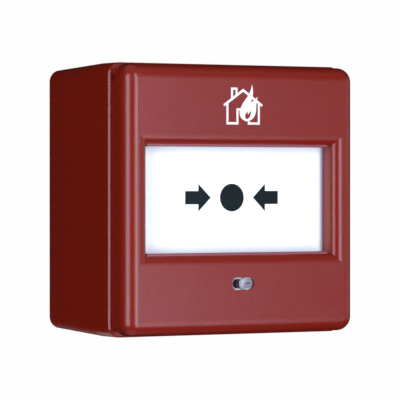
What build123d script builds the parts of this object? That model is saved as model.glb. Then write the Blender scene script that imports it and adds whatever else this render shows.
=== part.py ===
from build123d import *
import os
import math

os.makedirs("parts", exist_ok=True)

# ---------------------------------------------------------------- frame
# +X right, +Y towards the wall, +Z up, millimetres.  The wall is the plane
# Y = 0 and the origin is the centre of the back box on that wall.  Depths
# below are distances from the wall, so a depth d lies at Y = -d.

# ---------------------------------------------------------------- driving dimensions
box_size = 88.0          # back box rim, width and height
box_rear = 85.6          # back box at the wall
box_corner = 4.0         # corner radius of the box
box_band = 33.0          # depth where the taper ends and the straight rim band starts
box_depth = 43.3         # depth of the rim plane
box_wall = 2.2
box_floor = 2.4
rim_chamfer = 0.5        # bevelled front edge of the rim

cover_size = 86.8
cover_corner = 4.7
cover_rear = 43.4        # depth of the cover's rear edge, a 0.1 seam in front of the rim
cover_front = 53.2       # depth of the front face
cover_round = 4.5        # round between side and front face
cover_wall = 2.0
face_wall = 2.2

win_w = 69.4             # straight part of the window, width and height
win_h = 34.9
win_round = 3.4          # convex round from the face into the window
lip_rear = 46.45         # rear edge of the window wall
lip_wall = 1.8

guide_z = -27.15          # height of the indicator light guide
guide_slot_w = 8.3
guide_slot_h = 4.2
guide_boss_r = 2.05
guide_boss_x = 1.0       # the boss sits to the right of the slot's middle
guide_proud = 1.4

flap_hole_r = 1.1        # side sockets for an optional hinged flap
flap_hole_z = 38.9
flap_hole_d = 45.1

fix_dx, fix_dz, fix_r = 60.0, 50.0, 2.25     # wall screw holes
boss_x, boss_r = 30.15, 4.0                  # posts that take the chassis screws
entry_r = 10.0                               # rear cable entry
knock_r, knock_d = 10.0, 18.0                # scored side entries

plate_rear, plate_front = 38.6, 41.1         # chassis plate
plate_size = 82.4

pane_w = 74.4            # operating element
pane_rear, pane_front = 44.1, 45.9
pane_top, pane_bottom = 21.7, -19.2
film_t = 0.2
print_t = 0.06
mark_z = 0.66            # height of the printed marks
travel_back, travel_down = 2.4, 3.2          # element travel when it is pressed
pin_r, slot_r = 0.8, 0.86                    # element trunnions and their slots
pin_z = 11.5

lever_z, lever_d = -8.0, 36.5                # trip lever axis
lever_pin_r = 1.0
board_rear, board_front = 26.2, 27.8         # circuit board
board_w, board_h = 48.0, 70.0
post_x, post_z = 20.0, 31.0                  # board posts

term_x0, term_pitch, term_n = -12.7, 5.08, 6 # terminal block
term_z0, term_z1 = -26.0, -16.0
term_rear = 14.0

sw_z0, sw_z1 = -4.9, 15.1                    # snap-action switch
sw_rear, sw_front = board_front + 0.05, 35.9
plunger_z, plunger_tip = -2.5, 37.85

slider_x = 12.0          # reset slider and its key slot
latch_x = -12.0          # cover latch and its key slot
key_d = 36.2


def P(d):
    """Plane facing the front, d from the wall; local axes are X and Z."""
    return Plane.XZ.offset(d)


# ================================================================ back box
with BuildPart() as back_box:
    with BuildSketch(P(0)):
        RectangleRounded(box_rear, box_rear, box_corner)
    with BuildSketch(P(box_band)):
        RectangleRounded(box_size, box_size, box_corner)
    loft()
    with BuildSketch(P(box_band)):
        RectangleRounded(box_size, box_size, box_corner)
    extrude(amount=box_depth - box_band)
    # hollow
    with BuildSketch(P(box_floor)):
        RectangleRounded(box_rear - 2 * box_wall + 0.2, box_rear - 2 * box_wall + 0.2, box_corner - 1.6)
    with BuildSketch(P(box_band)):
        RectangleRounded(box_size - 2 * box_wall, box_size - 2 * box_wall, box_corner - 1.6)
    loft(mode=Mode.SUBTRACT)
    with BuildSketch(P(box_band)):
        RectangleRounded(box_size - 2 * box_wall, box_size - 2 * box_wall, box_corner - 1.6)
    extrude(amount=box_depth - box_band + 1, mode=Mode.SUBTRACT)
    # bevelled outer front edge of the rim
    rim_edges = back_box.edges().group_by(Axis.Y)[0]
    outer = [e for e in rim_edges if max(abs(e.center().X), abs(e.center().Z)) > box_size / 2 - 1.3]
    chamfer(outer, rim_chamfer)
    # posts for the chassis screws
    with BuildSketch(P(box_floor - 0.5)):
        with Locations((boss_x, 0), (-boss_x, 0)):
            Circle(boss_r)
    extrude(amount=plate_rear - box_floor + 0.5)
    with BuildSketch(P(box_floor - 0.5)):
        with Locations((boss_x + 6.0, 0), (-boss_x - 6.0, 0)):
            Rectangle(9.6, 1.8)
    extrude(amount=30.0)
    with BuildSketch(P(plate_rear + 0.1)):
        with Locations((boss_x, 0), (-boss_x, 0)):
            Circle(1.75)
    extrude(amount=-16.0, mode=Mode.SUBTRACT)
    # wall screw holes
    with BuildSketch(P(-1)):
        with GridLocations(fix_dx, fix_dz, 2, 2):
            Circle(fix_r)
    extrude(amount=box_floor + 2, mode=Mode.SUBTRACT)
    # rear cable entry with a shallow seat for the grommet
    with BuildSketch(P(-1)):
        Circle(entry_r)
    extrude(amount=box_floor + 2, mode=Mode.SUBTRACT)
    with BuildSketch(P(-1)):
        Circle(entry_r + 2.0)
    extrude(amount=1 + 0.9, mode=Mode.SUBTRACT)
    # scored knockouts on the top and the bottom, inside the wall
    with BuildSketch(Plane.XY.offset(39.0)):
        with Locations((0, -knock_d)):
            Circle(knock_r + 0.5)
            Circle(knock_r - 0.5, mode=Mode.SUBTRACT)
    extrude(amount=3.2, mode=Mode.SUBTRACT)
    with BuildSketch(Plane.XY.offset(-39.0)):
        with Locations((0, -knock_d)):
            Circle(knock_r + 0.5)
            Circle(knock_r - 0.5, mode=Mode.SUBTRACT)
    extrude(amount=-3.2, mode=Mode.SUBTRACT)
    # key slots in the bottom wall
    with BuildSketch(Plane.XY.offset(-45.0)):
        with Locations((slider_x, -key_d), (latch_x, -key_d)):
            RectangleRounded(6.0, 5.4, 0.8)
    extrude(amount=6.0, mode=Mode.SUBTRACT)
back_box.part.label = "back_box"
export_step(back_box.part, "parts/back_box.step")

# ---- rubber grommet in the rear cable entry
with BuildPart() as rear_grommet:
    with BuildSketch(Plane.XY):
        with BuildLine():
            Polyline(
                (4.0, 0.05), (entry_r + 1.8, 0.05), (entry_r + 1.8, 0.85), (entry_r - 0.08, 0.85),
                (entry_r - 0.08, box_floor + 0.05), (entry_r + 1.5, box_floor + 0.05),
                (entry_r + 1.0, box_floor + 1.5), (8.6, box_floor + 1.5), (7.6, 2.2), (4.9, 2.2),
                (4.6, 3.2), (4.0, 3.2), (4.0, 0.05),
            )
        make_face()
    revolve(axis=Axis.Y)
# the profile was drawn with depth along +Y; turn it towards the front
grommet_shape = mirror(rear_grommet.part, about=Plane.XZ)
grommet_shape.label = "rear_grommet"
export_step(grommet_shape, "parts/rear_grommet.step")

# ================================================================ chassis
with BuildPart() as chassis:
    with BuildSketch(P(plate_rear)):
        RectangleRounded(plate_size, plate_size, 2.2)
    extrude(amount=plate_front - plate_rear)
    # posts that carry the circuit board
    with BuildSketch(P(board_front)):
        with GridLocations(2 * post_x, 2 * post_z, 2, 2):
            Circle(3.0)
    extrude(amount=plate_rear - board_front + 0.5)
    # cheeks for the lever pin
    with BuildSketch(P(33.4)):
        with Locations((6.4, lever_z - 1.0), (-6.4, lever_z - 1.0)):
            Rectangle(1.8, 7.0)
    extrude(amount=plate_rear - 33.4 + 0.5)
    # rails for the reset slider and the latch
    with BuildSketch(P(35.2)):
        with Locations((slider_x - 4.8, -22.0), (slider_x + 4.8, -22.0)):
            Rectangle(1.2, 8.0)
        with Locations((latch_x - 4.8, -31.0), (latch_x + 4.8, -31.0)):
            Rectangle(1.2, 9.0)
        # stop rib above the latch spring
        with Locations((latch_x, -21.0)):
            Rectangle(8.0, 1.6)
    extrude(amount=plate_rear - 35.2 + 0.5)
    # guide rails for the cover tongues
    with BuildSketch(P(plate_front - 0.4)):
        with Locations((17.6, 35.6), (-17.6, 35.6)):
            Rectangle(1.4, 8.0)
    extrude(amount=3.0)
    # sunk seats for the chassis screws
    with BuildSketch(P(plate_rear - 0.1)):
        with Locations((boss_x, 0), (-boss_x, 0)):
            Circle(2.0)
    extrude(amount=5.0, mode=Mode.SUBTRACT)
    with BuildSketch(P(plate_front - 1.7)):
        with Locations((boss_x, 0), (-boss_x, 0)):
            Circle(3.7)
    extrude(amount=5.0, mode=Mode.SUBTRACT)
    # window for the lever and the switch
    with BuildSketch(P(plate_rear - 6.0)):
        with Locations((0, 1.0)):
            Rectangle(11.0, 24.0)
    extrude(amount=12.0, mode=Mode.SUBTRACT)
    # window for the reset lug
    with BuildSketch(P(plate_rear - 0.1)):
        with Locations((slider_x, -16.0)):
            RectangleRounded(4.4, 8.4, 0.6)
    extrude(amount=4.0, mode=Mode.SUBTRACT)
    # notch for the latch nose
    with BuildSketch(P(plate_rear - 0.1)):
        with Locations((latch_x, -38.2)):
            Rectangle(7.2, 8.4)
    extrude(amount=4.0, mode=Mode.SUBTRACT)
    # slots for the cover tongues
    with BuildSketch(P(plate_rear - 0.1)):
        with Locations((24.0, 39.4), (-24.0, 39.4)):
            Rectangle(9.6, 5.2)
    extrude(amount=4.0, mode=Mode.SUBTRACT)
    # light pipe hole
    with BuildSketch(P(plate_rear - 0.1)):
        with Locations((0, guide_z)):
            Circle(2.06)
    extrude(amount=4.0, mode=Mode.SUBTRACT)
    # lever pin holes through both cheeks
    with BuildSketch(Plane.YZ.offset(-8.0)):
        with Locations((-lever_d, lever_z)):
            Circle(lever_pin_r + 0.02)
    extrude(amount=16.0, mode=Mode.SUBTRACT)
    # pilot holes in the board posts
    with BuildSketch(P(board_front - 0.1)):
        with GridLocations(2 * post_x, 2 * post_z, 2, 2):
            Circle(1.28)
    extrude(amount=8.0, mode=Mode.SUBTRACT)
    # element frame screw holes
    with BuildSketch(P(plate_rear - 0.1)):
        with Locations((34.0, 26.9), (-34.0, 26.9), (34.0, -26.9), (-34.0, -26.9)):
            Circle(1.08)
    extrude(amount=4.0, mode=Mode.SUBTRACT)
    # finger openings that lighten the plate
    with BuildSketch(P(plate_rear - 0.1)):
        with Locations((0, 30.0)):
            RectangleRounded(24.0, 8.0, 2.0)
    extrude(amount=4.0, mode=Mode.SUBTRACT)
chassis.part.label = "chassis"
export_step(chassis.part, "parts/chassis.step")

# ---- two screws that hold the chassis to the box posts
with BuildPart() as chassis_screws:
    with BuildSketch(P(plate_front - 1.68)):
        with Locations((boss_x, 0), (-boss_x, 0)):
            Circle(3.4)
    extrude(amount=1.5)
    fillet(chassis_screws.edges().group_by(Axis.Y)[0], 0.6)
    with BuildSketch(P(plate_front - 15.0)):
        with Locations((boss_x, 0), (-boss_x, 0)):
            Circle(1.7)
    extrude(amount=13.5)
    with BuildSketch(P(plate_front - 1.08)):
        with Locations((boss_x, 0), (-boss_x, 0)):
            Rectangle(4.2, 0.8)
            Rectangle(0.8, 4.2)
    extrude(amount=2.0, mode=Mode.SUBTRACT)
chassis_screws.part.label = "chassis_screws"
export_step(chassis_screws.part, "parts/chassis_screws.step")

# ================================================================ element frame
with BuildPart() as element_frame:
    with BuildSketch(P(plate_front + 0.02)):
        RectangleRounded(79.4, 48.6, 1.6)
        Rectangle(pane_w + 0.7, 45.2, mode=Mode.SUBTRACT)
    extrude(amount=46.2 - plate_front - 0.02)
    # ears for its screws
    with BuildSketch(P(plate_front + 0.02)):
        with Locations((34.0, 26.9), (-34.0, 26.9), (34.0, -26.9), (-34.0, -26.9)):
            RectangleRounded(8.0, 6.4, 2.0)
        Rectangle(pane_w + 0.7, 45.2, mode=Mode.SUBTRACT)
    extrude(amount=2.2)
    with BuildSketch(P(plate_front)):
        with Locations((34.0, 26.9), (-34.0, 26.9), (34.0, -26.9), (-34.0, -26.9)):
            Circle(1.3)
    extrude(amount=4.0, mode=Mode.SUBTRACT)
    # slanted slots for the element trunnions
    for zc in (pin_z, -pin_z):
        with BuildSketch(Plane.YZ.offset(-42.0)):
            with BuildLine():
                guide = Line((-(pane_rear + pane_front) / 2, zc),
                             (-(pane_rear + pane_front) / 2 + travel_back, zc - travel_down))
            with Locations(Location(((guide @ 0.5).X, (guide @ 0.5).Y, 0),
                                    (0, 0, math.degrees(math.atan2(-travel_down, travel_back))))):
                SlotCenterToCenter(4.0, 2 * slot_r)
        extrude(amount=84.0, mode=Mode.SUBTRACT)
element_frame.part.label = "element_frame"
export_step(element_frame.part, "parts/element_frame.step")

with BuildPart() as frame_screws:
    with BuildSketch(P(plate_front + 2.24)):
        with Locations((34.0, 26.9), (-34.0, 26.9), (34.0, -26.9), (-34.0, -26.9)):
            Circle(2.2)
    extrude(amount=1.3)
    fillet(frame_screws.edges().group_by(Axis.Y)[0], 0.4)
    with BuildSketch(P(plate_rear - 1.0)):
        with Locations((34.0, 26.9), (-34.0, 26.9), (34.0, -26.9), (-34.0, -26.9)):
            Circle(1.04)
    extrude(amount=plate_front + 2.4 - plate_rear + 1.0)
    with BuildSketch(P(plate_front + 2.9)):
        with Locations((34.0, 26.9), (-34.0, 26.9), (34.0, -26.9), (-34.0, -26.9)):
            Rectangle(2.6, 0.55)
            Rectangle(0.55, 2.6)
    extrude(amount=2.0, mode=Mode.SUBTRACT)
frame_screws.part.label = "frame_screws"
export_step(frame_screws.part, "parts/frame_screws.step")

# ================================================================ operating element
with BuildPart() as call_element:
    with BuildSketch(P(pane_rear)):
        with Locations((0, (pane_top + pane_bottom) / 2)):
            RectangleRounded(pane_w, pane_top - pane_bottom, 1.0)
    extrude(amount=pane_front - pane_rear)
    # trunnions on both ends
    with BuildSketch(Plane.YZ.offset(-38.9)):
        with Locations((-(pane_rear + pane_front) / 2, pin_z), (-(pane_rear + pane_front) / 2, -pin_z)):
            Circle(pin_r)
    extrude(amount=77.8)
    # rounded nose that meets the trip lever
    with BuildSketch(Plane.YZ.offset(-3.0)):
        with Locations((-43.05, 8.0)):
            Circle(1.2)
        with Locations((-43.7, 8.0)):
            Rectangle(1.3, 2.2)
    extrude(amount=6.0)
    # lug that carries the reset slider
    with BuildSketch(P(36.4)):
        with Locations((slider_x, -14.0)):
            Rectangle(2.0, 2.0)
    extrude(amount=pane_rear - 36.4 + 0.4)
call_element.part.label = "call_element"
export_step(call_element.part, "parts/call_element.step")

film_y = pane_front
with BuildPart() as label_film:
    with BuildSketch(P(film_y)):
        with Locations((0, (17.9 + pane_bottom + 0.2) / 2)):
            RectangleRounded(pane_w - 0.4, 17.9 - pane_bottom - 0.2, 0.8)
    extrude(amount=film_t)
label_film.part.label = "label_film"
export_step(label_film.part, "parts/label_film.step")

with BuildPart() as operated_flag:
    with BuildSketch(P(film_y)):
        with Locations((0, (18.0 + pane_top - 0.2) / 2)):
            Rectangle(pane_w - 0.8, pane_top - 0.2 - 18.0)
    extrude(amount=film_t)
operated_flag.part.label = "operated_flag"
export_step(operated_flag.part, "parts/operated_flag.step")

# printed operating marks: a dot between two arrows
with BuildPart() as operating_marks:
    with BuildSketch(P(film_y + film_t)):
        with Locations((0, mark_z)):
            Circle(4.5)
        for sx in (-1, 1):
            with BuildLine():
                Polyline(
                    (sx * 8.02, mark_z), (sx * 12.6, mark_z + 4.45), (sx * 12.6, mark_z + 2.15),
                    (sx * 17.55, mark_z + 2.15), (sx * 17.55, mark_z - 2.15), (sx * 12.6, mark_z - 2.15),
                    (sx * 12.6, mark_z - 4.45), (sx * 8.02, mark_z),
                )
            make_face()
    extrude(amount=print_t)
operating_marks.part.label = "operating_marks"
export_step(operating_marks.part, "parts/operating_marks.step")

# ================================================================ trip lever
with BuildPart() as trip_lever:
    with BuildSketch(Plane.YZ.offset(-4.6)):
        with Locations((-lever_d, lever_z)):
            Circle(2.4)
        with BuildLine():
            Polyline(
                (-lever_d, lever_z - 2.2), (-40.5, lever_z - 2.2), (-40.5, lever_z + 2.2),
                (-lever_d, lever_z + 2.2), (-lever_d, lever_z - 2.2),
            )
        make_face()
        with BuildLine():
            Polyline(
                (-40.6, lever_z - 2.2), (-40.6, 0.5), (-41.7, 3.0), (-41.7, 10.5), (-40.1, 10.5),
                (-40.1, 3.5), (-39.2, 1.0), (-39.2, lever_z - 2.2), (-40.6, lever_z - 2.2),
            )
        make_face()
        # pusher that meets the switch plunger
        with Locations(((-40.3 - 37.95) / 2, plunger_z)):
            Rectangle(40.3 - 37.95, 2.0)
    extrude(amount=9.2)
    with BuildSketch(Plane.YZ.offset(-6.0)):
        with Locations((-lever_d, lever_z)):
            Circle(lever_pin_r + 0.05)
    extrude(amount=12.0, mode=Mode.SUBTRACT)
trip_lever.part.label = "trip_lever"
export_step(trip_lever.part, "parts/trip_lever.step")

with BuildPart() as lever_pin:
    with BuildSketch(Plane.YZ.offset(-7.6)):
        with Locations((-lever_d, lever_z)):
            Circle(lever_pin_r)
    extrude(amount=15.2)
    chamfer(lever_pin.edges(), 0.2)
lever_pin.part.label = "lever_pin"
export_step(lever_pin.part, "parts/lever_pin.step")

# ================================================================ snap-action switch
with BuildPart() as switch_body:
    with BuildSketch(P(sw_rear)):
        with Locations((0, (sw_z0 + sw_z1) / 2)):
            RectangleRounded(6.4, sw_z1 - sw_z0, 0.5)
    extrude(amount=sw_front - sw_rear)
    with BuildSketch(P(sw_front + 0.1)):
        with Locations((0, plunger_z)):
            Circle(0.95)
    extrude(amount=-4.8, mode=Mode.SUBTRACT)
    # two mounting holes across the body
    with BuildSketch(Plane.YZ.offset(-4.0)):
        with Locations((-31.0, sw_z0 + 5.2), (-31.0, sw_z1 - 5.2)):
            Circle(1.15)
    extrude(amount=8.0, mode=Mode.SUBTRACT)
switch_body.part.label = "switch_body"
export_step(switch_body.part, "parts/switch_body.step")

with BuildPart() as switch_plunger:
    with BuildSketch(P(32.4)):
        with Locations((0, plunger_z)):
            Circle(0.9)
    extrude(amount=plunger_tip - 0.9 - 32.4)
    with BuildSketch(Plane.XY.offset(plunger_z)):
        with BuildLine():
            CenterArc((0, -plunger_tip + 0.9), 0.9, 270, 90)
            Line((0.9, -plunger_tip + 0.9), (0, -plunger_tip + 0.9))
            Line((0, -plunger_tip + 0.9), (0, -plunger_tip))
        make_face()
    revolve(axis=Axis((0, 0, plunger_z), (0, 1, 0)))
switch_plunger.part.label = "switch_plunger"
export_step(switch_plunger.part, "parts/switch_plunger.step")

with BuildPart() as switch_terminals:
    with BuildSketch(P(board_rear - 1.6)):
        with Locations((0, sw_z0 + 2.0), (0, (sw_z0 + sw_z1) / 2), (0, sw_z1 - 2.0)):
            Rectangle(0.5, 1.2)
    extrude(amount=sw_rear - board_rear + 1.6)
switch_terminals.part.label = "switch_terminals"
export_step(switch_terminals.part, "parts/switch_terminals.step")

# ================================================================ circuit board
with BuildPart() as circuit_board:
    with BuildSketch(P(board_rear)):
        RectangleRounded(board_w, board_h, 1.5)
        with GridLocations(2 * post_x, 2 * post_z, 2, 2):
            Circle(1.4, mode=Mode.SUBTRACT)
        with Locations((0, sw_z0 + 2.0), (0, (sw_z0 + sw_z1) / 2), (0, sw_z1 - 2.0)):
            Rectangle(0.7, 1.4, mode=Mode.SUBTRACT)
        with Locations(*[(term_x0 + i * term_pitch, -18.0) for i in range(term_n)]):
            Circle(0.65, mode=Mode.SUBTRACT)
        with Locations((1.27, guide_z), (-1.27, guide_z)):
            Circle(0.4, mode=Mode.SUBTRACT)
    extrude(amount=board_front - board_rear)
circuit_board.part.label = "circuit_board"
export_step(circuit_board.part, "parts/circuit_board.step")

with BuildPart() as board_screws:
    with BuildSketch(P(board_rear - 0.02)):
        with GridLocations(2 * post_x, 2 * post_z, 2, 2):
            Circle(2.4)
    extrude(amount=-1.6)
    fillet(board_screws.edges().group_by(Axis.Y)[-1], 0.5)
    with BuildSketch(P(board_rear - 0.2)):
        with GridLocations(2 * post_x, 2 * post_z, 2, 2):
            Circle(1.22)
    extrude(amount=8.6)
    with BuildSketch(P(board_rear - 0.9)):
        with GridLocations(2 * post_x, 2 * post_z, 2, 2):
            Rectangle(2.8, 0.6)
            Rectangle(0.6, 2.8)
    extrude(amount=-1.5, mode=Mode.SUBTRACT)
board_screws.part.label = "board_screws"
export_step(board_screws.part, "parts/board_screws.step")

# ---- terminal block on the rear of the board, wires enter from below
term_w = term_pitch * term_n + 0.6
with BuildPart() as terminal_block:
    with BuildSketch(P(board_rear - 0.02)):
        with Locations((0, (term_z0 + term_z1) / 2)):
            Rectangle(term_w, term_z1 - term_z0)
    extrude(amount=-(board_rear - 0.02 - term_rear))
    # pockets: a wire mouth from below, and a screw well from the rear
    with BuildSketch(Plane.XY.offset(term_z0 - 0.1)):
        with Locations(*[(term_x0 + i * term_pitch, -20.6) for i in range(term_n)]):
            Rectangle(3.6, 4.6)
    extrude(amount=7.6, mode=Mode.SUBTRACT)
    with BuildSketch(P(term_rear - 0.1)):
        with Locations(*[(term_x0 + i * term_pitch, -21.2) for i in range(term_n)]):
            Circle(1.75)
    extrude(amount=6.0, mode=Mode.SUBTRACT)
    # sockets for the pins that go through the board
    with BuildSketch(P(24.4)):
        with Locations(*[(term_x0 + i * term_pitch, -18.0) for i in range(term_n)]):
            Circle(0.6)
    extrude(amount=3.0, mode=Mode.SUBTRACT)
terminal_block.part.label = "terminal_block"
export_step(terminal_block.part, "parts/terminal_block.step")

with BuildPart() as terminal_clamps:
    with BuildSketch(Plane.XY.offset(term_z0 + 1.2)):
        with Locations(*[(term_x0 + i * term_pitch, -20.6) for i in range(term_n)]):
            Rectangle(3.4, 4.4)
            Rectangle(2.4, 3.2, mode=Mode.SUBTRACT)
    extrude(amount=6.0)
    with BuildSketch(P(18.0)):
        with Locations(*[(term_x0 + i * term_pitch, -21.2) for i in range(term_n)]):
            Circle(1.02)
    extrude(amount=1.4, mode=Mode.SUBTRACT)
terminal_clamps.part.label = "terminal_clamps"
export_step(terminal_clamps.part, "parts/terminal_clamps.step")

with BuildPart() as terminal_screws:
    with BuildSketch(P(18.3)):
        with Locations(*[(term_x0 + i * term_pitch, -21.2) for i in range(term_n)]):
            Circle(1.6)
    extrude(amount=-1.8)
    with BuildSketch(P(18.2)):
        with Locations(*[(term_x0 + i * term_pitch, -21.2) for i in range(term_n)]):
            Circle(1.0)
    extrude(amount=2.4)
    with BuildSketch(P(17.3)):
        with Locations(*[(term_x0 + i * term_pitch, -21.2) for i in range(term_n)]):
            Rectangle(3.4, 0.6)
    extrude(amount=-2.0, mode=Mode.SUBTRACT)
terminal_screws.part.label = "terminal_screws"
export_step(terminal_screws.part, "parts/terminal_screws.step")

with BuildPart() as terminal_pins:
    with BuildSketch(P(24.6)):
        with Locations(*[(term_x0 + i * term_pitch, -18.0) for i in range(term_n)]):
            Circle(0.55)
    extrude(amount=board_front + 0.9 - 24.6)
terminal_pins.part.label = "terminal_pins"
export_step(terminal_pins.part, "parts/terminal_pins.step")

# ---- board components
with BuildPart() as resistors:
    for rz in (24.0, 20.6):
        with BuildSketch(Plane.YZ.offset(-18.0)):
            with Locations((-(board_front + 1.5), rz)):
                Circle(1.2)
        extrude(amount=6.4)
        with BuildSketch(Plane.YZ.offset(-20.4)):
            with Locations((-(board_front + 1.5), rz)):
                Circle(0.3)
        extrude(amount=11.2)
        with BuildSketch(P(board_front + 0.02)):
            with Locations((-20.1, rz), (-9.5, rz)):
                Circle(0.3)
        extrude(amount=1.7)
resistors.part.label = "resistors"
export_step(resistors.part, "parts/resistors.step")

with BuildPart() as capacitor:
    with BuildSketch(P(board_front + 0.02)):
        with Locations((15.0, 22.0)):
            Circle(3.15)
    extrude(amount=8.6)
    fillet(capacitor.edges().group_by(Axis.Y)[0], 0.5)
capacitor.part.label = "capacitor"
export_step(capacitor.part, "parts/capacitor.step")

with BuildPart() as controller_chip:
    with BuildSketch(P(board_front + 0.2)):
        with Locations((-14.5, 7.0)):
            Rectangle(6.0, 9.0)
    extrude(amount=1.6)
    chamfer(controller_chip.edges().group_by(Axis.Y)[0], 0.3)
controller_chip.part.label = "controller_chip"
export_step(controller_chip.part, "parts/controller_chip.step")

with BuildPart() as chip_leads:
    with BuildSketch(P(board_front + 0.01)):
        with Locations(*[(-14.5 + sx * 3.6, 7.0 + (i - 3) * 1.27) for sx in (-1, 1) for i in range(7)]):
            Rectangle(1.1, 0.45)
    extrude(amount=0.25)
chip_leads.part.label = "chip_leads"
export_step(chip_leads.part, "parts/chip_leads.step")

# ================================================================ indicator
with BuildPart() as indicator_led:
    with BuildSketch(P(board_front + 0.02)):
        with Locations((0, guide_z)):
            Circle(1.9)
    extrude(amount=1.0)
    with BuildSketch(P(board_front + 0.9)):
        with Locations((0, guide_z)):
            Circle(1.5)
    extrude(amount=3.9)
    fillet(indicator_led.edges().group_by(Axis.Y)[0], 1.3)
indicator_led.part.label = "indicator_led"
export_step(indicator_led.part, "parts/indicator_led.step")

with BuildPart() as led_leads:
    with BuildSketch(P(board_rear - 1.2)):
        with Locations((1.27, guide_z), (-1.27, guide_z)):
            Circle(0.25)
    extrude(amount=board_front + 0.01 - board_rear + 1.2)
led_leads.part.label = "led_leads"
export_step(led_leads.part, "parts/led_leads.step")

with BuildPart() as light_pipe:
    with BuildSketch(P(33.0)):
        with Locations((0, guide_z)):
            Circle(2.0)
    extrude(amount=43.8 - 33.0)
    with BuildSketch(P(plate_front + 0.02)):
        with Locations((0, guide_z)):
            Circle(2.9)
    extrude(amount=0.8)
light_pipe.part.label = "light_pipe"
export_step(light_pipe.part, "parts/light_pipe.step")

# ================================================================ reset slider
with BuildPart() as reset_slider:
    with BuildSketch(P(35.6)):
        with Locations((slider_x, -21.0)):
            Rectangle(8.0, 18.0)
        with Locations((slider_x, -31.0)):
            Rectangle(4.0, 4.0)
        with Locations((slider_x, -14.0)):
            Rectangle(2.12, 2.12, mode=Mode.SUBTRACT)
    extrude(amount=2.6)
reset_slider.part.label = "reset_slider"
export_step(reset_slider.part, "parts/reset_slider.step")

# ================================================================ cover latch and its spring
with BuildPart() as cover_latch:
    with BuildSketch(P(35.6)):
        with Locations((latch_x, -33.6)):
            Rectangle(8.0, 10.8)
    extrude(amount=2.7)
    with BuildSketch(P(35.6)):
        with Locations((latch_x, -37.6)):
            Rectangle(6.0, 2.8)
    extrude(amount=10.8)
    # nose, with a lead-in chamfer below
    chamfer(cover_latch.edges().filter_by(Axis.X).group_by(Axis.Y)[0].sort_by(Axis.Z)[0], 0.8)
    # spring seat
    with BuildSketch(Plane.XY.offset(-28.2)):
        with Locations((latch_x, -36.95)):
            Circle(0.9)
    extrude(amount=1.6)
cover_latch.part.label = "cover_latch"
export_step(cover_latch.part, "parts/cover_latch.step")

with BuildPart() as latch_spring:
    with BuildLine() as coil:
        Helix(1.25, 5.2, 1.35, center=(latch_x, -36.95, -27.55))
    with BuildSketch(Plane(origin=coil.line @ 0, z_dir=coil.line % 0)):
        Circle(0.2)
    sweep()
latch_spring.part.label = "latch_spring"
export_step(latch_spring.part, "parts/latch_spring.step")

# ================================================================ front cover
# space of the window: a rectangle whose four sides flare into the face with
# a convex round and meet in sharp mitres, so it is two prisms intersected
with BuildPart() as window_cut:
    with BuildSketch(Plane.XY.offset(-win_h)):
        with BuildLine():
            Polyline(
                (-win_w / 2, -(cover_front - win_round)), (-win_w / 2, -(lip_rear - 2)),
                (win_w / 2, -(lip_rear - 2)), (win_w / 2, -(cover_front - win_round)),
            )
            CenterArc((win_w / 2 + win_round, -(cover_front - win_round)), win_round, 180, 90)
            Polyline(
                (win_w / 2 + win_round, -cover_front), (win_w / 2 + win_round, -(cover_front + 2)),
                (-win_w / 2 - win_round, -(cover_front + 2)), (-win_w / 2 - win_round, -cover_front),
            )
            CenterArc((-win_w / 2 - win_round, -(cover_front - win_round)), win_round, 270, 90)
        make_face()
    extrude(amount=2 * win_h)
    with BuildSketch(Plane.YZ.offset(-win_w)):
        with BuildLine():
            Polyline(
                (-(cover_front - win_round), -win_h / 2), (-(lip_rear - 2), -win_h / 2),
                (-(lip_rear - 2), win_h / 2), (-(cover_front - win_round), win_h / 2),
            )
            CenterArc((-(cover_front - win_round), win_h / 2 + win_round), win_round, 180, 90)
            Polyline(
                (-cover_front, win_h / 2 + win_round), (-(cover_front + 2), win_h / 2 + win_round),
                (-(cover_front + 2), -win_h / 2 - win_round), (-cover_front, -win_h / 2 - win_round),
            )
            CenterArc((-(cover_front - win_round), -win_h / 2 - win_round), win_round, 90, 90)
        make_face()
    extrude(amount=2 * win_w, mode=Mode.INTERSECT)

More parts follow.
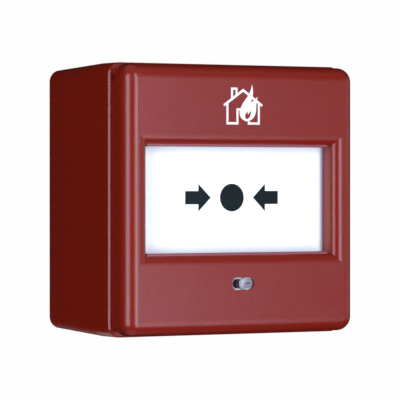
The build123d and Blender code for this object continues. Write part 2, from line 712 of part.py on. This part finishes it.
with BuildPart() as front_cover:
    with BuildSketch(P(cover_rear)):
        RectangleRounded(cover_size, cover_size, cover_corner)
    extrude(amount=cover_front - cover_rear)
    fillet(front_cover.edges().group_by(Axis.Y)[0], cover_round)
    with BuildSketch(P(cover_rear - 1)):
        RectangleRounded(cover_size - 2 * cover_wall, cover_size - 2 * cover_wall, cover_corner - cover_wall + 0.3)
    extrude(amount=cover_front - face_wall - cover_rear + 1, mode=Mode.SUBTRACT)
    # fill the inner corner below the outer round
    with BuildSketch(P(cover_front - face_wall + 0.05)):
        RectangleRounded(cover_size - 2 * cover_wall + 0.4, cover_size - 2 * cover_wall + 0.4, cover_corner - cover_wall + 0.5)
        RectangleRounded(cover_size - 2 * cover_wall - 5.0, cover_size - 2 * cover_wall - 5.0, cover_corner - cover_wall + 0.2, mode=Mode.SUBTRACT)
    extrude(amount=-1.2)
    # window wall
    with BuildSketch(P(lip_rear)):
        Rectangle(win_w + 2 * lip_wall, win_h + 2 * lip_wall)
    extrude(amount=cover_front - face_wall - lip_rear + 0.5)
    add(window_cut.part, mode=Mode.SUBTRACT)
    # slot for the indicator light guide, with a boss behind the face
    with BuildSketch(P(cover_front - face_wall - 1.6)):
        with Locations((0, guide_z)):
            SlotOverall(guide_slot_w + 3.4, guide_slot_h + 3.2)
    extrude(amount=2.0)
    with BuildSketch(P(cover_front - face_wall - 3.0)):
        with Locations((0, guide_z)):
            SlotOverall(guide_slot_w, guide_slot_h)
    extrude(amount=8.0, mode=Mode.SUBTRACT)
    # tongues that hang in the chassis slots
    with BuildSketch(P(39.9)):
        with Locations((24.0, 39.2), (-24.0, 39.2)):
            Rectangle(7.6, 1.4)
    extrude(amount=cover_front - face_wall - 39.9 + 0.3)
    with BuildSketch(P(cover_rear + 0.4)):
        with Locations((24.0, 40.5), (-24.0, 40.5)):
            Rectangle(7.6, 2.4)
    extrude(amount=cover_front - face_wall - cover_rear)
    # strike rib above the latch
    with BuildSketch(P(cover_rear + 0.9)):
        with Locations((latch_x, -40.6)):
            Rectangle(9.0, 1.8)
    extrude(amount=1.3)
    # side sockets for an optional flap
    with BuildSketch(Plane.YZ.offset(-44.0)):
        with Locations((-flap_hole_d, flap_hole_z)):
            Circle(flap_hole_r)
    extrude(amount=88.0, mode=Mode.SUBTRACT)
front_cover.part.label = "front_cover"
export_step(front_cover.part, "parts/front_cover.step")

# ---- clear light guide in the cover
with BuildPart() as light_guide:
    with BuildSketch(P(cover_front - face_wall - 1.6)):
        with Locations((0, guide_z)):
            SlotOverall(guide_slot_w - 0.16, guide_slot_h - 0.16)
    extrude(amount=face_wall + 1.6 - 0.8)
    with BuildSketch(P(44.3)):
        with Locations((guide_boss_x, guide_z)):
            Circle(guide_boss_r)
    extrude(amount=cover_front + guide_proud - 44.3)
    tip = [e for e in light_guide.edges().group_by(Axis.Y)[0]]
    fillet(tip, 0.9)
    # rear flange glued behind the cover's boss
    with BuildSketch(P(cover_front - face_wall - 1.62)):
        with Locations((0, guide_z)):
            SlotOverall(guide_slot_w + 2.6, guide_slot_h + 2.4)
    extrude(amount=-0.9)
light_guide.part.label = "light_guide"
export_step(light_guide.part, "parts/light_guide.step")

# ---- printed pictogram: a house with a flame, as on any fire call point
picto_line = 0.72        # width of the printed lines
house_half, eave_z, apex_z, base_z = 6.28, 30.75, 35.85, 24.3
with BuildPart() as cover_pictogram:
    with BuildSketch(P(cover_front)):
        # roof
        with BuildLine():
            Polyline(
                (-7.42, eave_z), (0, apex_z), (7.42, eave_z), (6.98, eave_z - 0.6), (0, apex_z - 0.93),
                (-6.98, eave_z - 0.6), (-7.42, eave_z),
            )
        make_face()
        # walls, floor and door frame
        with Locations((-house_half + picto_line / 2, (base_z + 31.0) / 2), (house_half - picto_line / 2, (base_z + 31.0) / 2)):
            Rectangle(picto_line, 31.0 - base_z)
        with Locations(((-house_half - 1.8) / 2, base_z + picto_line / 2)):
            Rectangle(house_half - 1.8, picto_line)
        with Locations(((house_half + 1.75) / 2, base_z + picto_line / 2)):
            Rectangle(house_half - 1.75, picto_line)
        with Locations((-1.8 - picto_line / 2, (base_z + 29.5) / 2)):
            Rectangle(picto_line, 29.5 - base_z)
        with Locations((-1.4, 29.5 - picto_line / 2)):
            Rectangle(2.24, picto_line)
        with Locations((1.75 + picto_line / 2, base_z + 0.9)):
            Rectangle(picto_line, 1.8)
        # chimney
        with BuildLine():
            Polyline(
                (-4.55, 32.4), (-4.55, 36.2), (-2.15, 36.2), (-2.15, 33.9), (-2.87, 33.4), (-2.87, 35.48),
                (-3.83, 35.48), (-3.83, 32.9), (-4.55, 32.4),
            )
        make_face()
        # flame with two tongues
        with BuildLine():
            Spline((3.36, 37.2), (2.86, 35.5), (1.9, 33.65), (0.35, 31.75), (-0.75, 30.0), (-1.32, 28.1),
                   (-0.85, 26.6), (0.35, 25.65), (1.5, 25.36), (2.75, 25.72), (3.95, 26.6), (4.66, 27.9),
                   (4.9, 29.6), (5.05, 31.6), (5.48, 33.4))
            Spline((5.48, 33.4), (4.55, 32.5), (3.7, 31.85), (2.85, 31.4))
            Spline((2.85, 31.4), (3.3, 32.6), (3.66, 34.2), (3.62, 35.8), (3.36, 37.2))
        make_face()
        with BuildLine():
            Spline((1.72, 28.6), (0.98, 27.85), (0.7, 26.95), (0.98, 26.25), (1.52, 26.08), (2.25, 26.55),
                   (2.82, 27.5), (2.98, 28.75))
            Spline((2.98, 28.75), (2.42, 28.3), (2.02, 27.55))
            Spline((2.02, 27.55), (1.76, 27.9), (1.72, 28.6))
        make_face(mode=Mode.SUBTRACT)
    extrude(amount=print_t)
cover_pictogram.part.label = "cover_pictogram"
export_step(cover_pictogram.part, "parts/cover_pictogram.step")

print("done")
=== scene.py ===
import bpy
import bmesh
import math
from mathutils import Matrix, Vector


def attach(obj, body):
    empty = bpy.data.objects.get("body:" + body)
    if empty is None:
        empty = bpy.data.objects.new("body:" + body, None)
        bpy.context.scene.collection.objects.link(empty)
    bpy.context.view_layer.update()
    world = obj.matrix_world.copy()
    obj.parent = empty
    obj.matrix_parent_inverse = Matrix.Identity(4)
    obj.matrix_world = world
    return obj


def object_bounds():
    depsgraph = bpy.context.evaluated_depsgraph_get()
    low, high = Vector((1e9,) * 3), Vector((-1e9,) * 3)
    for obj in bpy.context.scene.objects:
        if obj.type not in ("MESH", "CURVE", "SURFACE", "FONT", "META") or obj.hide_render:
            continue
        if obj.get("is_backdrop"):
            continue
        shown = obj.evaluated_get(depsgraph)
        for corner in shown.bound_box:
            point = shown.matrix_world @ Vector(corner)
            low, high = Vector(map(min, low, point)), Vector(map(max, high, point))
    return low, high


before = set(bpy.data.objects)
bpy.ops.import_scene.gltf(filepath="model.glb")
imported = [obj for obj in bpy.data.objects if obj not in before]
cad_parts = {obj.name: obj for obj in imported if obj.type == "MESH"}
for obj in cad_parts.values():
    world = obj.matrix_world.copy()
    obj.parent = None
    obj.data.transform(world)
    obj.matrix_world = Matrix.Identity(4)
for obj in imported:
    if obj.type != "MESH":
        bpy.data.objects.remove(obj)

cad_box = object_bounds()


def plain(v):
    try:
        return [plain(x) for x in v]
    except TypeError:
        return float(v)


# ---------------------------------------------------------------- helpers
def new_material(name):
    m = bpy.data.materials.new(name)
    m.use_nodes = True
    nt = m.node_tree
    nt.nodes.clear()
    out = nt.nodes.new("ShaderNodeOutputMaterial")
    bsdf = nt.nodes.new("ShaderNodeBsdfPrincipled")
    nt.links.new(bsdf.outputs["BSDF"], out.inputs["Surface"])
    return m, nt, bsdf


def node(nt, kind, **inputs):
    n = nt.nodes.new(kind)
    for k, v in inputs.items():
        n.inputs[k.replace("_", " ")].default_value = v
    return n


def coords(nt):
    return nt.nodes.new("ShaderNodeTexCoord").outputs["Object"]


def noise(nt, vec, scale, detail=4.0, rough=0.55):
    n = node(nt, "ShaderNodeTexNoise", Scale=scale, Detail=detail, Roughness=rough)
    nt.links.new(vec, n.inputs["Vector"])
    return n.outputs["Fac"]


def voronoi(nt, vec, scale, feature="F1", smooth=None):
    n = nt.nodes.new("ShaderNodeTexVoronoi")
    n.feature = feature
    n.inputs["Scale"].default_value = scale
    nt.links.new(vec, n.inputs["Vector"])
    return n.outputs["Distance"]


def ramp(nt, fac, lo, hi, c0, c1):
    r = nt.nodes.new("ShaderNodeMapRange")
    r.inputs["From Min"].default_value = lo
    r.inputs["From Max"].default_value = hi
    r.inputs["To Min"].default_value = c0
    r.inputs["To Max"].default_value = c1
    nt.links.new(fac, r.inputs["Value"])
    return r.outputs["Result"]


def mixcol(nt, fac, a, b):
    m = nt.nodes.new("ShaderNodeMix")
    m.data_type = "RGBA"
    for s, v in ((6, a), (7, b)):
        if isinstance(v, tuple):
            m.inputs[s].default_value = (*v, 1.0)
        else:
            nt.links.new(v, m.inputs[s])
    if isinstance(fac, float):
        m.inputs[0].default_value = fac
    else:
        nt.links.new(fac, m.inputs[0])
    return m.outputs[2]


def math_node(nt, op, a, b):
    m = nt.nodes.new("ShaderNodeMath")
    m.operation = op
    for i, v in enumerate((a, b)):
        if isinstance(v, (int, float)):
            m.inputs[i].default_value = v
        else:
            nt.links.new(v, m.inputs[i])
    return m.outputs[0]


def bump(nt, bsdf, height, strength, dist, prev=None):
    b = nt.nodes.new("ShaderNodeBump")
    b.inputs["Strength"].default_value = strength
    b.inputs["Distance"].default_value = dist
    nt.links.new(height, b.inputs["Height"])
    if prev is not None:
        nt.links.new(prev, b.inputs["Normal"])
    nt.links.new(b.outputs["Normal"], bsdf.inputs["Normal"])
    return b.outputs["Normal"]


def edge_wear(nt):
    """Convex edges, from the geometry's own pointiness."""
    g = nt.nodes.new("ShaderNodeNewGeometry")
    return g.outputs["Pointiness"]


def moulded(name, base, rough, grain=2600.0, grain_bump=0.06, tone=0.06, spec=0.5, dirt=0.0, scuff=0.0):
    """Moulded plastic: fine spark-eroded grain, slow tone drift, faint handling marks."""
    m, nt, b = new_material(name)
    v = coords(nt)
    slow = noise(nt, v, 38.0, 3.0, 0.5)
    fine = noise(nt, v, 900.0, 6.0, 0.62)
    lo = tuple(c * (1 - tone) for c in base)
    hi = tuple(min(1.0, c * (1 + tone)) for c in base)
    c1 = mixcol(nt, ramp(nt, slow, 0.3, 0.7, 0.0, 1.0), lo, hi)
    c2 = mixcol(nt, ramp(nt, fine, 0.35, 0.65, 0.0, 0.22), c1, tuple(c * 0.82 for c in base))
    if dirt:
        wear = ramp(nt, edge_wear(nt), 0.5, 0.56, 0.0, dirt)
        c2 = mixcol(nt, wear, c2, tuple(min(1.0, c * 1.5 + 0.02) for c in base))
    nt.links.new(c2, b.inputs["Base Color"])
    patch = noise(nt, v, 120.0, 5.0, 0.6)
    r = ramp(nt, patch, 0.3, 0.7, rough - 0.012, rough + 0.018)
    if scuff:
        # light handling scuffs, drawn out along one direction
        mp = nt.nodes.new("ShaderNodeMapping")
        mp.inputs["Rotation"].default_value = (0.3, 0.7, 0.5)
        mp.inputs["Scale"].default_value = (40.0, 420.0, 420.0)
        nt.links.new(v, mp.inputs["Vector"])
        marks = ramp(nt, noise(nt, mp.outputs["Vector"], 1.0, 3.0, 0.5), 0.66, 0.74, 0.0, scuff)
        r = math_node(nt, "ADD", r, marks)
    nt.links.new(r, b.inputs["Roughness"])
    b.inputs["Specular IOR Level"].default_value = spec
    cells = voronoi(nt, v, grain)
    grainn = noise(nt, v, grain * 0.8, 3.0, 0.6)
    h = math_node(nt, "ADD", math_node(nt, "MULTIPLY", cells, 0.6), grainn)
    n1 = bump(nt, b, h, grain_bump, 0.00012)
    wave = noise(nt, v, 60.0, 2.0, 0.5)
    bump(nt, b, wave, 0.012, 0.0004, n1)
    return m


def metal(name, base, rough, brush=(1.0, 1.0, 1.0), scale=900.0):
    m, nt, b = new_material(name)
    v = coords(nt)
    mp = nt.nodes.new("ShaderNodeMapping")
    mp.inputs["Scale"].default_value = brush
    nt.links.new(v, mp.inputs["Vector"])
    streak = noise(nt, mp.outputs["Vector"], scale, 5.0, 0.65)
    cloud = noise(nt, v, 260.0, 3.0, 0.5)
    c = mixcol(nt, ramp(nt, cloud, 0.3, 0.7, 0.0, 1.0), tuple(x * 0.86 for x in base), base)
    nt.links.new(c, b.inputs["Base Color"])
    b.inputs["Metallic"].default_value = 1.0
    nt.links.new(ramp(nt, streak, 0.3, 0.7, rough - 0.06, rough + 0.12), b.inputs["Roughness"])
    bump(nt, b, streak, 0.12, 0.00005)
    return m


def ink(name, base, rough, spec=0.4):
    """Printed ink: slightly uneven film with pinholes."""
    m, nt, b = new_material(name)
    v = coords(nt)
    n = noise(nt, v, 1800.0, 4.0, 0.6)
    c = mixcol(nt, ramp(nt, n, 0.35, 0.7, 0.0, 0.35), base, tuple(min(1.0, x * 0.85 + 0.01) for x in base))
    nt.links.new(c, b.inputs["Base Color"])
    nt.links.new(ramp(nt, n, 0.3, 0.7, rough - 0.05, rough + 0.05), b.inputs["Roughness"])
    b.inputs["Specular IOR Level"].default_value = spec
    bump(nt, b, n, 0.05, 0.00004)
    return m


def clear(name, tint, rough=0.03, ior=1.49):
    m, nt, b = new_material(name)
    v = coords(nt)
    n = noise(nt, v, 420.0, 3.0, 0.5)
    c = mixcol(nt, ramp(nt, n, 0.3, 0.7, 0.0, 1.0), tint, tuple(min(1.0, x * 1.03) for x in tint))
    nt.links.new(c, b.inputs["Base Color"])
    b.inputs["Transmission Weight"].default_value = 1.0
    b.inputs["IOR"].default_value = ior
    nt.links.new(ramp(nt, n, 0.3, 0.7, rough, rough + 0.04), b.inputs["Roughness"])
    bump(nt, b, n, 0.04, 0.0001)
    return m


# ---------------------------------------------------------------- materials
M = {}
M["red"] = moulded("red_housing", (0.196, 0.0096, 0.0030), 0.22, grain=2500.0, grain_bump=0.24, tone=0.02, spec=0.44, scuff=0.012)
M["red_cover"] = moulded("red_cover", (0.207, 0.0112, 0.0044), 0.25, grain=2500.0, grain_bump=0.26, tone=0.02, spec=0.46)
# a lighter, pinker copy of the red plastic: painted highlight on the window bead's front-facing ledge
M["red_painted_highlight"] = moulded("red_painted_highlight", (0.275, 0.090, 0.098), 0.2, grain=2500.0, grain_bump=0.1, tone=0.03, spec=0.5)
M["white"] = moulded("white_element", (0.82, 0.83, 0.82), 0.4, grain=2200.0, grain_bump=0.06, tone=0.03)
M["dark_print"] = ink("dark_print", (0.0100, 0.0175, 0.0190), 0.14)
M["white_print"] = ink("white_print", (0.90, 0.94, 0.83), 0.4)
M["yellow"] = ink("yellow_flag", (0.80, 0.52, 0.02), 0.45)
M["clear"] = clear("clear_guide", (0.93, 0.96, 0.97))
M["pipe"] = clear("clear_pipe", (0.95, 0.97, 0.97), 0.05)
M["chassis"] = moulded("dark_chassis", (0.035, 0.035, 0.038), 0.42, grain=2000.0, grain_bump=0.12, tone=0.08, dirt=0.2)
M["acetal"] = moulded("lever_plastic", (0.68, 0.67, 0.62), 0.36, grain=2400.0, grain_bump=0.05, tone=0.04)
M["black"] = moulded("black_component", (0.018, 0.018, 0.019), 0.38, grain=3000.0, grain_bump=0.14, tone=0.1)
M["green"] = moulded("terminal_green", (0.02, 0.20, 0.06), 0.38, grain=2400.0, grain_bump=0.08, tone=0.06)
M["blue"] = moulded("blue_sleeve", (0.02, 0.045, 0.16), 0.24, grain=1800.0, grain_bump=0.03, tone=0.06)
M["rubber"] = moulded("rubber_black", (0.022, 0.022, 0.023), 0.62, grain=1800.0, grain_bump=0.2, tone=0.12, spec=0.3)
M["zinc"] = metal("zinc_steel", (0.62, 0.63, 0.65), 0.30)
M["spring"] = metal("spring_steel", (0.50, 0.50, 0.52), 0.28, (1, 1, 6))
M["brass"] = metal("tinned_brass", (0.74, 0.58, 0.30), 0.28)
M["red_lens"] = clear("red_lens", (0.75, 0.06, 0.05), 0.06, 1.52)

# circuit board: green mask with copper tracks showing through as a relief
m, nt, b = new_material("board")
v = coords(nt)
mp = nt.nodes.new("ShaderNodeMapping")
mp.inputs["Rotation"].default_value = (math.radians(90), 0, 0)
nt.links.new(v, mp.inputs["Vector"])
br = nt.nodes.new("ShaderNodeTexBrick")
br.inputs["Scale"].default_value = 210.0
br.inputs["Mortar Size"].default_value = 0.018
br.inputs["Mortar Smooth"].default_value = 0.2
br.offset = 0.37
nt.links.new(mp.outputs["Vector"], br.inputs["Vector"])
tracks = br.outputs["Fac"]
soft = noise(nt, v, 90.0, 3.0, 0.5)
c = mixcol(nt, ramp(nt, soft, 0.3, 0.7, 0.0, 1.0), (0.010, 0.085, 0.030), (0.014, 0.110, 0.040))
c = mixcol(nt, ramp(nt, tracks, 0.0, 1.0, 0.0, 0.8), c, (0.03, 0.20, 0.07))
nt.links.new(c, b.inputs["Base Color"])
nt.links.new(ramp(nt, soft, 0.3, 0.7, 0.18, 0.26), b.inputs["Roughness"])
bump(nt, b, tracks, 0.3, 0.00004)
M["board"] = m

# lacquered resistor body with colour bands along its axis
m, nt, b = new_material("resistor_body")
v = coords(nt)
sep = nt.nodes.new("ShaderNodeSeparateXYZ")
nt.links.new(v, sep.inputs["Vector"])
x = sep.outputs["X"]
body = mixcol(nt, ramp(nt, noise(nt, v, 600.0), 0.3, 0.7, 0.0, 1.0), (0.48, 0.36, 0.20), (0.56, 0.43, 0.26))
for x0, colr in ((-0.0170, (0.30, 0.05, 0.02)), (-0.0155, (0.03, 0.03, 0.03)), (-0.0140, (0.50, 0.16, 0.02)), (-0.0124, (0.45, 0.30, 0.08))):
    d = math_node(nt, "ABSOLUTE", math_node(nt, "SUBTRACT", x, x0), 0.0)
    body = mixcol(nt, ramp(nt, d, 0.00028, 0.00034, 1.0, 0.0), body, colr)
lead = math_node(nt, "ABSOLUTE", math_node(nt, "SUBTRACT", x, -0.0148), 0.0)
isl = ramp(nt, lead, 0.00322, 0.00326, 0.0, 1.0)
body = mixcol(nt, isl, body, (0.6, 0.6, 0.6))
nt.links.new(body, b.inputs["Base Color"])
nt.links.new(isl, b.inputs["Metallic"])
nt.links.new(ramp(nt, noise(nt, v, 700.0), 0.3, 0.7, 0.2, 0.3), b.inputs["Roughness"])
bump(nt, b, noise(nt, v, 900.0), 0.08, 0.00005)
M["resistor"] = m

# the film: painted shade, a cool darkening toward the window's edges where the recess walls shade it; a faint glow of
# painted light over the whole film; and a thin blue cut edge on the right
m, nt, b = new_material("white_film")
v = coords(nt)
sep = nt.nodes.new("ShaderNodeSeparateXYZ")
nt.links.new(v, sep.inputs["Vector"])
# painted shade: the film darkens and cools toward the window's edges, where the recess walls shade it
ex = math_node(nt, "SUBTRACT", 0.0347, math_node(nt, "ABSOLUTE", sep.outputs["X"], 0.0))
ez = math_node(nt, "SUBTRACT", 0.0170, math_node(nt, "ABSOLUTE", sep.outputs["Z"], 0.0))
painted_edge_shade = ramp(nt, math_node(nt, "MINIMUM", ex, ez), 0.0, 0.0045, 1.0, 0.0)
painted_edge_shade = math_node(nt, "MULTIPLY", painted_edge_shade, painted_edge_shade)
fine = noise(nt, v, 2400.0, 3.0, 0.6)
c = mixcol(nt, ramp(nt, fine, 0.3, 0.7, 0.0, 1.0), (0.842, 0.905, 0.845), (0.858, 0.921, 0.858))
c = mixcol(nt, math_node(nt, "MULTIPLY", painted_edge_shade, 0.55), c, (0.50, 0.66, 0.82))
c = mixcol(nt, ramp(nt, sep.outputs["X"], 0.03405, 0.03435, 0.0, 0.8), c, (0.16, 0.24, 0.50))
nt.links.new(c, b.inputs["Base Color"])
nt.links.new(ramp(nt, fine, 0.3, 0.7, 0.14, 0.19), b.inputs["Roughness"])
b.inputs["Specular IOR Level"].default_value = 0.4
# painted light: the film glows faintly, though it is no lamp, to lift it where the window's walls shade it
b.inputs["Emission Color"].default_value = (0.965, 1.0, 1.04, 1)
b.inputs["Emission Strength"].default_value = 0.22
bump(nt, b, fine, 0.03, 0.00004)
M["white_film"] = m

# clear moulding of the status window: frosted rim and lens, and between them a clear web tinted dark as painted shade;
# its left end carries a painted highlight
m, nt, b = new_material("clear_guide")
v = coords(nt)
sep = nt.nodes.new("ShaderNodeSeparateXYZ")
nt.links.new(v, sep.inputs["Vector"])
gx = sep.outputs["X"]
gz = math_node(nt, "ADD", sep.outputs["Z"], 0.02715)
ax = math_node(nt, "MAXIMUM", math_node(nt, "SUBTRACT", math_node(nt, "ABSOLUTE", gx, 0.0), 0.00207), 0.0)
stad = math_node(nt, "SQRT", math_node(nt, "ADD", math_node(nt, "MULTIPLY", ax, ax), math_node(nt, "MULTIPLY", gz, gz)), 0.0)
bx = math_node(nt, "SUBTRACT", gx, 0.0010)
circ = math_node(nt, "SQRT", math_node(nt, "ADD", math_node(nt, "MULTIPLY", bx, bx), math_node(nt, "MULTIPLY", gz, gz)), 0.0)
rim = ramp(nt, stad, 0.00125, 0.00175, 0.0, 1.0)
lens = ramp(nt, circ, 0.00150, 0.00204, 0.32, 1.0)
in_lens = ramp(nt, circ, 0.00204, 0.00212, 1.0, 0.0)
speck = ramp(nt, noise(nt, v, 1500.0, 3.0, 0.6), 0.42, 0.62, 0.0, 0.35)
frost = math_node(nt, "MAXIMUM", rim, math_node(nt, "MULTIPLY", math_node(nt, "ADD", lens, speck), in_lens))
frost = math_node(nt, "MINIMUM", frost, 1.0)
# painted shade: where the moulding is not frosted it is tinted dark teal, standing in for the dark interior seen
# through the clear web
c = mixcol(nt, frost, (0.035, 0.065, 0.090), (0.74, 0.80, 0.86))
warm = ramp(nt, noise(nt, v, 1100.0, 2.0, 0.5), 0.50, 0.62, 0.0, 0.55)
# painted highlight: a pale pink patch on the left end of the moulding, where the left strip lamp catches its rim
c = mixcol(nt, math_node(nt, "MULTIPLY", ramp(nt, gx, -0.0040, -0.0033, 1.0, 0.0), 0.6), c, (0.95, 0.88, 0.92))
c = mixcol(nt, warm, c, (0.42, 0.16, 0.17))
nt.links.new(c, b.inputs["Base Color"])
nt.links.new(ramp(nt, frost, 0.0, 1.0, 0.85, 0.12), b.inputs["Transmission Weight"])
b.inputs["IOR"].default_value = 1.5
nt.links.new(ramp(nt, frost, 0.0, 1.0, 0.05, 0.22), b.inputs["Roughness"])
bump(nt, b, noise(nt, v, 900.0, 2.0, 0.5), 0.08, 0.0001)
M["clear"] = m

assign = {
    "back_box": "red", "front_cover": "red_cover", "rear_grommet": "rubber", "chassis": "chassis", "element_frame": "chassis",
    "chassis_screws": "zinc", "frame_screws": "zinc", "board_screws": "zinc", "lever_pin": "zinc", "terminal_screws": "zinc",
    "chip_leads": "zinc", "led_leads": "zinc", "latch_spring": "spring", "switch_terminals": "brass", "terminal_clamps": "brass",
    "terminal_pins": "brass", "switch_body": "black", "controller_chip": "black", "circuit_board": "board",
    "terminal_block": "green", "resistors": "resistor", "capacitor": "blue", "indicator_led": "red_lens", "light_pipe": "pipe",
    "light_guide": "clear", "cover_pictogram": "white_print", "call_element": "white", "label_film": "white_film",
    "operated_flag": "yellow", "operating_marks": "dark_print", "trip_lever": "acetal", "switch_plunger": "acetal",
    "reset_slider": "acetal", "cover_latch": "acetal",
}
for name, key in assign.items():
    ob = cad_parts[name]
    ob.data.materials.clear()
    ob.data.materials.append(M[key])

# smooth shading that keeps the crisp edges of each moulding
for name in assign:
    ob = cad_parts[name]
    for p in ob.data.polygons:
        p.use_smooth = True
    if hasattr(ob.data, "set_sharp_from_angle"):
        ob.data.set_sharp_from_angle(angle=math.radians(28))

# ---------------------------------------------------------------- window bead
def extrusion(name, profile, x_stations):
    """Closed profile of (depth, z) points carried along X; each station is (x, pull), where
    pull draws the profile back toward its first point."""
    bm = bmesh.new()
    rings = []
    for x, pull in x_stations:
        d0, z0 = profile[0]
        rings.append([bm.verts.new((x / 1000, -(d0 + (d - d0) * pull) / 1000, (z0 + (z - z0) * pull) / 1000)) for d, z in profile])
    n = len(profile)
    for a, b2 in zip(rings, rings[1:]):
        for i in range(n):
            bm.faces.new((a[i], a[(i + 1) % n], b2[(i + 1) % n], b2[i]))
    bm.faces.new(rings[0])
    bm.faces.new(list(reversed(rings[-1])))
    bmesh.ops.recalc_face_normals(bm, faces=bm.faces)
    me = bpy.data.meshes.new(name)
    bm.to_mesh(me)
    bm.free()
    for p in me.polygons:
        p.use_smooth = True
    me.set_sharp_from_angle(angle=math.radians(40))
    ob = bpy.data.objects.new(name, me)
    bpy.context.scene.collection.objects.link(ob)
    return ob


# window bead: a thin ledge above and below the film, coloured with the pinker copy of the red plastic as a painted
# highlight
BEAD = [(50.95, 17.72), (51.50, 17.93), (51.52, 17.86), (51.50, 17.50), (51.44, 17.32), (51.30, 17.16), (51.08, 17.06),
        (50.70, 17.02), (50.20, 17.06), (49.95, 17.20), (49.85, 17.47), (50.40, 17.56)]
for name, sign in (("window_bead_top", 1), ("window_bead_bottom", -1)):
    ob = extrusion(name, [(d, sign * z) for d, z in BEAD], [(-34.72, 1.0), (-20, 1.0), (0, 1.0), (20, 1.0), (32.2, 1.0), (33.2, 0.8), (33.9, 0.35)])
    ob.data.materials.append(M["red_painted_highlight"])
    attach(ob, "cover")

# ---------------------------------------------------------------- camera
F_PX, TH, DIST, TX, TZ, PITCH = 2950.55, math.radians(30.415), 0.97513, 4.43, -0.68, math.radians(0.347)
target = Vector((0, -0.0285, 0))
back = Vector((-math.sin(TH) * math.cos(PITCH), -math.cos(TH) * math.cos(PITCH), math.sin(PITCH)))
cam_data = bpy.data.cameras.new("camera")
cam_data.sensor_width = 36.0
cam_data.lens = F_PX * 36.0 / 400.0
cam_data.shift_x = -TX / 400.0
cam_data.shift_y = TZ / 400.0
cam_data.clip_start = 0.05
cam_data.clip_end = 50.0
cam = bpy.data.objects.new("camera", cam_data)
cam.location = target + back * DIST
cam.rotation_euler = (-back).to_track_quat("-Z", "Y").to_euler()
bpy.context.scene.collection.objects.link(cam)
bpy.context.scene.camera = cam

# ---------------------------------------------------------------- light
scene = bpy.context.scene
scene.view_settings.view_transform = "Standard"
scene.view_settings.look = "None"
world = bpy.data.worlds.new("studio")
scene.world = world
world.use_nodes = True
wn = world.node_tree
wn.nodes.clear()
wout = wn.nodes.new("ShaderNodeOutputWorld")
lp = wn.nodes.new("ShaderNodeLightPath")
bg_seen = wn.nodes.new("ShaderNodeBackground")
bg_seen.inputs["Color"].default_value = (0.99, 0.99, 0.99, 1)
bg_seen.inputs["Strength"].default_value = 1.0
bg_fill = wn.nodes.new("ShaderNodeBackground")
bg_fill.inputs["Color"].default_value = (0.96, 0.98, 1.0, 1)
bg_fill.inputs["Strength"].default_value = 0.014
wmix = wn.nodes.new("ShaderNodeMixShader")
wn.links.new(lp.outputs["Is Camera Ray"], wmix.inputs["Fac"])
wn.links.new(bg_fill.outputs["Background"], wmix.inputs[1])
wn.links.new(bg_seen.outputs["Background"], wmix.inputs[2])
wn.links.new(wmix.outputs["Shader"], wout.inputs["Surface"])


def softbox(name, az, el, dist, width, height, radiance, colour=(1, 1, 1)):
    """Area light aimed at the object; az from the face normal, positive to the right."""
    a, e = math.radians(az), math.radians(el)
    d = Vector((math.sin(a) * math.cos(e), -math.cos(a) * math.cos(e), math.sin(e)))
    l = bpy.data.lights.new(name, "AREA")
    l.shape = "RECTANGLE"
    l.size, l.size_y = width, height
    l.energy = radiance * math.pi * width * height
    l.color = colour
    o = bpy.data.objects.new(name, l)
    o.location = target + d * dist
    o.rotation_euler = (-d).to_track_quat("-Z", "Y").to_euler()
    scene.collection.objects.link(o)
    return o


COOL = (0.97, 0.97, 1.16)
softbox("strip_left", -56, 0, 0.62, 0.28, 0.74, 5.3, COOL)
panel = softbox("panel_front", 13.5, -2, 1.60, 0.525, 2.20, 6.9, COOL)
panel.rotation_euler.rotate_axis("Z", math.radians(14))
softbox("panel_right", 48, 0, 1.8, 0.40, 0.9, 1.1, COOL)
softbox("high_right", 42, 46, 1.6, 0.34, 0.30, 0.9, COOL)
# fill for the sides the front lamps don't reach, placed so that no rounded edge
# mirrors them toward the front
softbox("above", -60, 82, 1.3, 1.7, 1.5, 0.42)
softbox("below", -60, -84, 1.3, 1.5, 1.3, 0.20)
softbox("right", 76, 0, 1.8, 0.8, 1.3, 1.0)
behind = softbox("behind", 176, -50, 1.6, 0.9, 0.8, 6.5)
lit = bpy.data.collections.new("lit_from_behind")
for name in ("back_box", "rear_grommet"):
    lit.objects.link(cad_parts[name])
behind.light_linking.receiver_collection = lit

# plain pale floor, below the wall-held object
bm = bmesh.new()
bmesh.ops.create_circle(bm, cap_ends=True, segments=64, radius=0.15)
me = bpy.data.meshes.new("floor")
bm.to_mesh(me)
bm.free()
floor = bpy.data.objects.new("floor", me)
floor.location = (0, 0, -0.36)
scene.collection.objects.link(floor)
fm, fnt, fb = new_material("floor_paint")
fv = coords(fnt)
fnoise = noise(fnt, fv, 30.0, 3.0, 0.5)
fnt.links.new(mixcol(fnt, fnoise, (0.90, 0.90, 0.90), (0.93, 0.93, 0.93)), fb.inputs["Base Color"])
fb.inputs["Roughness"].default_value = 0.8
me.materials.append(fm)
floor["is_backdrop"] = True

visual_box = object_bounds()
{"cad": plain(cad_box), "visual": plain(visual_box)}
